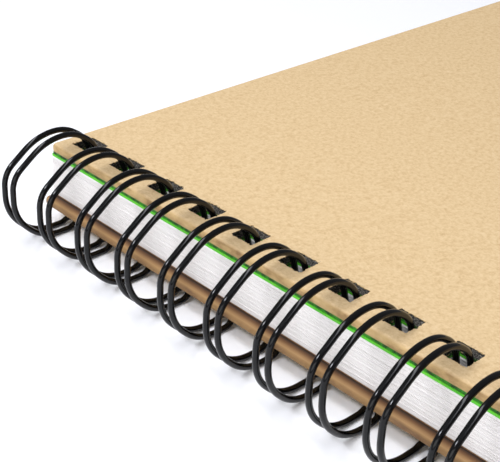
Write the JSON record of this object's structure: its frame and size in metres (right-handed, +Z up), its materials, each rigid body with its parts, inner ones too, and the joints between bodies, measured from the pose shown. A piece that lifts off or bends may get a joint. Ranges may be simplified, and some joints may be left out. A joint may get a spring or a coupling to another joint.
{
  "type": "sketchbook",
  "caption": "Wirebound sketchbook with kraft-covered boards, a green flyleaf and lining, drawing paper and a black twin-loop wire binding.",
  "frame": {"origin": "middle of the book's footprint, on the surface that it lies on", "axes": "+X from the spine to the fore-edge, +Y along the spine towards the head, +Z up out of the front cover"},
  "size_m": [0.2316, 0.2786, 0.0238],
  "materials": {
    "kraft_paper": "matte",
    "grey_board": "matte",
    "green_lining": "matte",
    "green_card": "matte",
    "drawing_paper": "matte",
    "kraft_lining": "matte",
    "coated_wire": "gloss"
  },
  "bodies": {
    "back_cover": {"back_wrap": "kraft_paper", "back_board": "grey_board", "back_lining": "kraft_lining", "wire_binding": "coated_wire"},
    "front_cover": {"front_wrap": "kraft_paper", "front_board": "grey_board", "front_lining": "green_lining"},
    "front_flyleaf": {"front_flyleaf": "green_card"},
    "leaf_01": {"leaf_01": "drawing_paper"},
    "leaf_02": {"leaf_02": "drawing_paper"},
    "leaf_03": {"leaf_03": "drawing_paper"},
    "leaf_04": {"leaf_04": "drawing_paper"},
    "leaf_05": {"leaf_05": "drawing_paper"},
    "leaf_06": {"leaf_06": "drawing_paper"},
    "leaf_07": {"leaf_07": "drawing_paper"},
    "leaf_08": {"leaf_08": "drawing_paper"},
    "leaf_09": {"leaf_09": "drawing_paper"},
    "leaf_10": {"leaf_10": "drawing_paper"},
    "leaf_11": {"leaf_11": "drawing_paper"},
    "leaf_12": {"leaf_12": "drawing_paper"},
    "leaf_13": {"leaf_13": "drawing_paper"},
    "leaf_14": {"leaf_14": "drawing_paper"},
    "leaf_15": {"leaf_15": "drawing_paper"},
    "leaf_16": {"leaf_16": "drawing_paper"},
    "leaf_17": {"leaf_17": "drawing_paper"},
    "leaf_18": {"leaf_18": "drawing_paper"},
    "leaf_19": {"leaf_19": "drawing_paper"},
    "leaf_20": {"leaf_20": "drawing_paper"},
    "leaf_21": {"leaf_21": "drawing_paper"},
    "leaf_22": {"leaf_22": "drawing_paper"},
    "leaf_23": {"leaf_23": "drawing_paper"},
    "leaf_24": {"leaf_24": "drawing_paper"},
    "leaf_25": {"leaf_25": "drawing_paper"},
    "leaf_26": {"leaf_26": "drawing_paper"},
    "leaf_27": {"leaf_27": "drawing_paper"},
    "leaf_28": {"leaf_28": "drawing_paper"},
    "leaf_29": {"leaf_29": "drawing_paper"},
    "leaf_30": {"leaf_30": "drawing_paper"},
    "leaf_31": {"leaf_31": "drawing_paper"},
    "leaf_32": {"leaf_32": "drawing_paper"},
    "leaf_33": {"leaf_33": "drawing_paper"},
    "leaf_34": {"leaf_34": "drawing_paper"},
    "leaf_35": {"leaf_35": "drawing_paper"},
    "leaf_36": {"leaf_36": "drawing_paper"},
    "leaf_37": {"leaf_37": "drawing_paper"},
    "leaf_38": {"leaf_38": "drawing_paper"},
    "leaf_39": {"leaf_39": "drawing_paper"},
    "leaf_40": {"leaf_40": "drawing_paper"}
  },
  "joints": [
    {"name": "front_cover_hinge", "type": "hinge", "parent": "back_cover", "child": "front_cover", "pos_m": [-0.10426, 0, 0.01186], "axis": [0, -1, 0], "range_deg": [0, 220]},
    {"name": "front_flyleaf_hinge", "type": "hinge", "parent": "back_cover", "child": "front_flyleaf", "pos_m": [-0.10426, 0, 0.01186], "axis": [0, -1, 0], "range_deg": [0, 217.46]},
    {"name": "leaf_01_hinge", "type": "hinge", "parent": "back_cover", "child": "leaf_01", "pos_m": [-0.10426, 0, 0.01186], "axis": [0, -1, 0], "range_deg": [0, 214.49]},
    {"name": "leaf_02_hinge", "type": "hinge", "parent": "back_cover", "child": "leaf_02", "pos_m": [-0.10426, 0, 0.01186], "axis": [0, -1, 0], "range_deg": [0, 211.17]},
    {"name": "leaf_03_hinge", "type": "hinge", "parent": "back_cover", "child": "leaf_03", "pos_m": [-0.10426, 0, 0.01186], "axis": [0, -1, 0], "range_deg": [0, 207.5]},
    {"name": "leaf_04_hinge", "type": "hinge", "parent": "back_cover", "child": "leaf_04", "pos_m": [-0.10426, 0, 0.01186], "axis": [0, -1, 0], "range_deg": [0, 203.49]},
    {"name": "leaf_05_hinge", "type": "hinge", "parent": "back_cover", "child": "leaf_05", "pos_m": [-0.10426, 0, 0.01186], "axis": [0, -1, 0], "range_deg": [0, 199.16]},
    {"name": "leaf_06_hinge", "type": "hinge", "parent": "back_cover", "child": "leaf_06", "pos_m": [-0.10426, 0, 0.01186], "axis": [0, -1, 0], "range_deg": [0, 194.56]},
    {"name": "leaf_07_hinge", "type": "hinge", "parent": "back_cover", "child": "leaf_07", "pos_m": [-0.10426, 0, 0.01186], "axis": [0, -1, 0], "range_deg": [0, 189.65]},
    {"name": "leaf_08_hinge", "type": "hinge", "parent": "back_cover", "child": "leaf_08", "pos_m": [-0.10426, 0, 0.01186], "axis": [0, -1, 0], "range_deg": [0, 184.51]},
    {"name": "leaf_09_hinge", "type": "hinge", "parent": "back_cover", "child": "leaf_09", "pos_m": [-0.10426, 0, 0.01186], "axis": [0, -1, 0], "range_deg": [0, 179.14]},
    {"name": "leaf_10_hinge", "type": "hinge", "parent": "back_cover", "child": "leaf_10", "pos_m": [-0.10426, 0, 0.01186], "axis": [0, -1, 0], "range_deg": [0, 173.53]},
    {"name": "leaf_11_hinge", "type": "hinge", "parent": "back_cover", "child": "leaf_11", "pos_m": [-0.10426, 0, 0.01186], "axis": [0, -1, 0], "range_deg": [0, 167.74]},
    {"name": "leaf_12_hinge", "type": "hinge", "parent": "back_cover", "child": "leaf_12", "pos_m": [-0.10426, 0, 0.01186], "axis": [0, -1, 0], "range_deg": [0, 161.78]},
    {"name": "leaf_13_hinge", "type": "hinge", "parent": "back_cover", "child": "leaf_13", "pos_m": [-0.10426, 0, 0.01186], "axis": [0, -1, 0], "range_deg": [0, 155.64]},
    {"name": "leaf_14_hinge", "type": "hinge", "parent": "back_cover", "child": "leaf_14", "pos_m": [-0.10426, 0, 0.01186], "axis": [0, -1, 0], "range_deg": [0, 149.37]},
    {"name": "leaf_15_hinge", "type": "hinge", "parent": "back_cover", "child": "leaf_15", "pos_m": [-0.10426, 0, 0.01186], "axis": [0, -1, 0], "range_deg": [0, 142.99]},
    {"name": "leaf_16_hinge", "type": "hinge", "parent": "back_cover", "child": "leaf_16", "pos_m": [-0.10426, 0, 0.01186], "axis": [0, -1, 0], "range_deg": [0, 136.53]},
    {"name": "leaf_17_hinge", "type": "hinge", "parent": "back_cover", "child": "leaf_17", "pos_m": [-0.10426, 0, 0.01186], "axis": [0, -1, 0], "range_deg": [0, 129.97]},
    {"name": "leaf_18_hinge", "type": "hinge", "parent": "back_cover", "child": "leaf_18", "pos_m": [-0.10426, 0, 0.01186], "axis": [0, -1, 0], "range_deg": [0, 123.35]},
    {"name": "leaf_19_hinge", "type": "hinge", "parent": "back_cover", "child": "leaf_19", "pos_m": [-0.10426, 0, 0.01186], "axis": [0, -1, 0], "range_deg": [0, 116.68]},
    {"name": "leaf_20_hinge", "type": "hinge", "parent": "back_cover", "child": "leaf_20", "pos_m": [-0.10426, 0, 0.01186], "axis": [0, -1, 0], "range_deg": [0, 110.01]},
    {"name": "leaf_21_hinge", "type": "hinge", "parent": "back_cover", "child": "leaf_21", "pos_m": [-0.10426, 0, 0.01186], "axis": [0, -1, 0], "range_deg": [0, 103.35]},
    {"name": "leaf_22_hinge", "type": "hinge", "parent": "back_cover", "child": "leaf_22", "pos_m": [-0.10426, 0, 0.01186], "axis": [0, -1, 0], "range_deg": [0, 96.68]},
    {"name": "leaf_23_hinge", "type": "hinge", "parent": "back_cover", "child": "leaf_23", "pos_m": [-0.10426, 0, 0.01186], "axis": [0, -1, 0], "range_deg": [0, 90.06]},
    {"name": "leaf_24_hinge", "type": "hinge", "parent": "back_cover", "child": "leaf_24", "pos_m": [-0.10426, 0, 0.01186], "axis": [0, -1, 0], "range_deg": [0, 83.5]},
    {"name": "leaf_25_hinge", "type": "hinge", "parent": "back_cover", "child": "leaf_25", "pos_m": [-0.10426, 0, 0.01186], "axis": [0, -1, 0], "range_deg": [0, 77.04]},
    {"name": "leaf_26_hinge", "type": "hinge", "parent": "back_cover", "child": "leaf_26", "pos_m": [-0.10426, 0, 0.01186], "axis": [0, -1, 0], "range_deg": [0, 70.66]},
    {"name": "leaf_27_hinge", "type": "hinge", "parent": "back_cover", "child": "leaf_27", "pos_m": [-0.10426, 0, 0.01186], "axis": [0, -1, 0], "range_deg": [0, 64.39]},
    {"name": "leaf_28_hinge", "type": "hinge", "parent": "back_cover", "child": "leaf_28", "pos_m": [-0.10426, 0, 0.01186], "axis": [0, -1, 0], "range_deg": [0, 58.25]},
    {"name": "leaf_29_hinge", "type": "hinge", "parent": "back_cover", "child": "leaf_29", "pos_m": [-0.10426, 0, 0.01186], "axis": [0, -1, 0], "range_deg": [0, 52.29]},
    {"name": "leaf_30_hinge", "type": "hinge", "parent": "back_cover", "child": "leaf_30", "pos_m": [-0.10426, 0, 0.01186], "axis": [0, -1, 0], "range_deg": [0, 46.5]},
    {"name": "leaf_31_hinge", "type": "hinge", "parent": "back_cover", "child": "leaf_31", "pos_m": [-0.10426, 0, 0.01186], "axis": [0, -1, 0], "range_deg": [0, 40.89]},
    {"name": "leaf_32_hinge", "type": "hinge", "parent": "back_cover", "child": "leaf_32", "pos_m": [-0.10426, 0, 0.01186], "axis": [0, -1, 0], "range_deg": [0, 35.52]},
    {"name": "leaf_33_hinge", "type": "hinge", "parent": "back_cover", "child": "leaf_33", "pos_m": [-0.10426, 0, 0.01186], "axis": [0, -1, 0], "range_deg": [0, 30.38]},
    {"name": "leaf_34_hinge", "type": "hinge", "parent": "back_cover", "child": "leaf_34", "pos_m": [-0.10426, 0, 0.01186], "axis": [0, -1, 0], "range_deg": [0, 25.47]},
    {"name": "leaf_35_hinge", "type": "hinge", "parent": "back_cover", "child": "leaf_35", "pos_m": [-0.10426, 0, 0.01186], "axis": [0, -1, 0], "range_deg": [0, 20.87]},
    {"name": "leaf_36_hinge", "type": "hinge", "parent": "back_cover", "child": "leaf_36", "pos_m": [-0.10426, 0, 0.01186], "axis": [0, -1, 0], "range_deg": [0, 16.54]},
    {"name": "leaf_37_hinge", "type": "hinge", "parent": "back_cover", "child": "leaf_37", "pos_m": [-0.10426, 0, 0.01186], "axis": [0, -1, 0], "range_deg": [0, 12.53]},
    {"name": "leaf_38_hinge", "type": "hinge", "parent": "back_cover", "child": "leaf_38", "pos_m": [-0.10426, 0, 0.01186], "axis": [0, -1, 0], "range_deg": [0, 8.86]},
    {"name": "leaf_39_hinge", "type": "hinge", "parent": "back_cover", "child": "leaf_39", "pos_m": [-0.10426, 0, 0.01186], "axis": [0, -1, 0], "range_deg": [0, 5.54]},
    {"name": "leaf_40_hinge", "type": "hinge", "parent": "back_cover", "child": "leaf_40", "pos_m": [-0.10426, 0, 0.01186], "axis": [0, -1, 0], "range_deg": [0, 2.57]}
  ],
  "couplings": [
    {"joint": "front_flyleaf_hinge", "follows": "front_cover_hinge", "ratio": 0.9884},
    {"joint": "leaf_01_hinge", "follows": "front_cover_hinge", "ratio": 0.9749},
    {"joint": "leaf_02_hinge", "follows": "front_cover_hinge", "ratio": 0.9598},
    {"joint": "leaf_03_hinge", "follows": "front_cover_hinge", "ratio": 0.9431},
    {"joint": "leaf_04_hinge", "follows": "front_cover_hinge", "ratio": 0.9249},
    {"joint": "leaf_05_hinge", "follows": "front_cover_hinge", "ratio": 0.9052},
    {"joint": "leaf_06_hinge", "follows": "front_cover_hinge", "ratio": 0.8843},
    {"joint": "leaf_07_hinge", "follows": "front_cover_hinge", "ratio": 0.862},
    {"joint": "leaf_08_hinge", "follows": "front_cover_hinge", "ratio": 0.8386},
    {"joint": "leaf_09_hinge", "follows": "front_cover_hinge", "ratio": 0.8142},
    {"joint": "leaf_10_hinge", "follows": "front_cover_hinge", "ratio": 0.7887},
    {"joint": "leaf_11_hinge", "follows": "front_cover_hinge", "ratio": 0.7624},
    {"joint": "leaf_12_hinge", "follows": "front_cover_hinge", "ratio": 0.7353},
    {"joint": "leaf_13_hinge", "follows": "front_cover_hinge", "ratio": 0.7074},
    {"joint": "leaf_14_hinge", "follows": "front_cover_hinge", "ratio": 0.6789},
    {"joint": "leaf_15_hinge", "follows": "front_cover_hinge", "ratio": 0.6499},
    {"joint": "leaf_16_hinge", "follows": "front_cover_hinge", "ratio": 0.6205},
    {"joint": "leaf_17_hinge", "follows": "front_cover_hinge", "ratio": 0.5907},
    {"joint": "leaf_18_hinge", "follows": "front_cover_hinge", "ratio": 0.5606},
    {"joint": "leaf_19_hinge", "follows": "front_cover_hinge", "ratio": 0.5303},
    {"joint": "leaf_20_hinge", "follows": "front_cover_hinge", "ratio": 0.5},
    {"joint": "leaf_21_hinge", "follows": "front_cover_hinge", "ratio": 0.4697},
    {"joint": "leaf_22_hinge", "follows": "front_cover_hinge", "ratio": 0.4394},
    {"joint": "leaf_23_hinge", "follows": "front_cover_hinge", "ratio": 0.4093},
    {"joint": "leaf_24_hinge", "follows": "front_cover_hinge", "ratio": 0.3795},
    {"joint": "leaf_25_hinge", "follows": "front_cover_hinge", "ratio": 0.3501},
    {"joint": "leaf_26_hinge", "follows": "front_cover_hinge", "ratio": 0.3211},
    {"joint": "leaf_27_hinge", "follows": "front_cover_hinge", "ratio": 0.2926},
    {"joint": "leaf_28_hinge", "follows": "front_cover_hinge", "ratio": 0.2647},
    {"joint": "leaf_29_hinge", "follows": "front_cover_hinge", "ratio": 0.2376},
    {"joint": "leaf_30_hinge", "follows": "front_cover_hinge", "ratio": 0.2113},
    {"joint": "leaf_31_hinge", "follows": "front_cover_hinge", "ratio": 0.1858},
    {"joint": "leaf_32_hinge", "follows": "front_cover_hinge", "ratio": 0.1614},
    {"joint": "leaf_33_hinge", "follows": "front_cover_hinge", "ratio": 0.138},
    {"joint": "leaf_34_hinge", "follows": "front_cover_hinge", "ratio": 0.1157},
    {"joint": "leaf_35_hinge", "follows": "front_cover_hinge", "ratio": 0.0948},
    {"joint": "leaf_36_hinge", "follows": "front_cover_hinge", "ratio": 0.0751},
    {"joint": "leaf_37_hinge", "follows": "front_cover_hinge", "ratio": 0.0569},
    {"joint": "leaf_38_hinge", "follows": "front_cover_hinge", "ratio": 0.0402},
    {"joint": "leaf_39_hinge", "follows": "front_cover_hinge", "ratio": 0.0251},
    {"joint": "leaf_40_hinge", "follows": "front_cover_hinge", "ratio": 0.0116}
  ]
}
